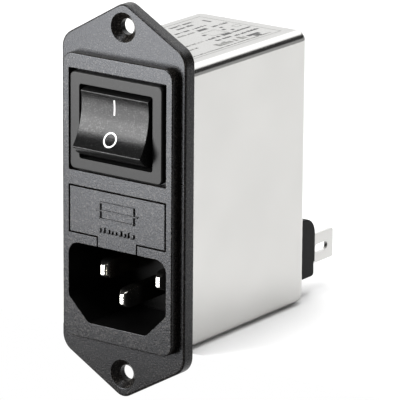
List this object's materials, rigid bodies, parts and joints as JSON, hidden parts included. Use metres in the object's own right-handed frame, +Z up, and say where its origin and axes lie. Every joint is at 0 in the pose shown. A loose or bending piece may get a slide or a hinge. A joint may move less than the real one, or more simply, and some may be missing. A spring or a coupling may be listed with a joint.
{
  "type": "power entry module with line filter",
  "caption": "Panel-mount mains inlet with a pointed flange, rocker switch, fuse drawer and a line filter in a drawn metal can, with tab terminals behind.",
  "frame": {"origin": "midway between the two screw holes, on the flange's back face, where it meets the panel", "axes": "+X to the right seen from the front, +Y from the front to the back through the panel, +Z up from the inlet to the switch"},
  "size_m": [0.031, 0.0647, 0.082],
  "materials": {
    "black_plastic": "fine-grained black thermoplastic",
    "rocker_plastic": "fine-grained black thermoplastic",
    "switch_plastic": "smooth dark thermoplastic",
    "plunger_plastic": "natural slippery plastic",
    "nickel": "bright nickel plate",
    "spring_steel": "drawn wire",
    "contact_copper": "rolled copper strip",
    "brass": "rolled brass strip",
    "glass": "clear glass",
    "tin": "satin tin plate",
    "can_metal": "satin tin-plated sheet",
    "board": "glass-fibre board with lacquer",
    "ferrite": "coated ferrite",
    "divider_plastic": "natural plastic",
    "copper_wire": "enamelled copper wire",
    "capacitor_plastic": "moulded plastic box",
    "capacitor_ceramic": "dipped ceramic disc",
    "resistor_coat": "lacquered body",
    "brown_insulation": "extruded wire insulation",
    "blue_insulation": "extruded wire insulation"
  },
  "bodies": {
    "module": {"front_housing": "black_plastic", "line_pin": "nickel", "neutral_pin": "nickel", "earth_pin": "nickel", "switch_case": "switch_plastic", "line_pivot_terminal": "brass", "neutral_pivot_terminal": "brass", "line_contact_terminal": "brass", "neutral_contact_terminal": "brass", "supply_fuse_clip": "brass", "load_fuse_clip": "brass", "filter_can": "can_metal", "circuit_board": "board", "choke_core": "ferrite", "choke_divider": "divider_plastic", "line_winding": "copper_wire", "neutral_winding": "copper_wire", "x_capacitor": "capacitor_plastic", "line_y_capacitor": "capacitor_ceramic", "neutral_y_capacitor": "capacitor_ceramic", "bleed_resistor": "resistor_coat", "terminal_block": "black_plastic", "line_output_blade": "tin", "neutral_output_blade": "tin", "earth_output_blade": "tin", "earth_rivet": "nickel", "earth_strap": "nickel", "line_supply_wire": "brown_insulation", "fused_line_wire": "brown_insulation", "neutral_supply_wire": "blue_insulation", "line_filter_wire": "brown_insulation", "neutral_filter_wire": "blue_insulation"},
    "rocker_unit": {"rocker": "rocker_plastic", "line_plunger": "plunger_plastic", "neutral_plunger": "plunger_plastic", "line_plunger_spring": "spring_steel", "neutral_plunger_spring": "spring_steel"},
    "line_lever_unit": {"line_lever": "contact_copper"},
    "neutral_lever_unit": {"neutral_lever": "contact_copper"},
    "drawer_unit": {"fuse_drawer": "black_plastic", "fuse_glass": "glass", "fuse_caps": "nickel", "fuse_wire": "tin"}
  },
  "joints": [
    {"name": "rocker_pivot", "type": "hinge", "parent": "module", "child": "rocker_unit", "pos_m": [0, -0.003, 0.0162], "axis": [1, 0, 0], "range_deg": [0, 27.8]},
    {"name": "line_lever_pivot", "type": "hinge", "parent": "module", "child": "line_lever_unit", "pos_m": [0.0046, 0.00655, 0.0162], "axis": [1, 0, 0], "range_deg": [-27.8, 0]},
    {"name": "neutral_lever_pivot", "type": "hinge", "parent": "module", "child": "neutral_lever_unit", "pos_m": [-0.0046, 0.00655, 0.0162], "axis": [1, 0, 0], "range_deg": [-27.8, 0]},
    {"name": "drawer_slide", "type": "slide", "parent": "module", "child": "drawer_unit", "axis": [0, -1, 0], "range_m": [0, 0.012]}
  ],
  "couplings": [
    {"joint": "line_lever_pivot", "follows": "rocker_pivot", "ratio": -1},
    {"joint": "neutral_lever_pivot", "follows": "rocker_pivot", "ratio": -1}
  ]
}
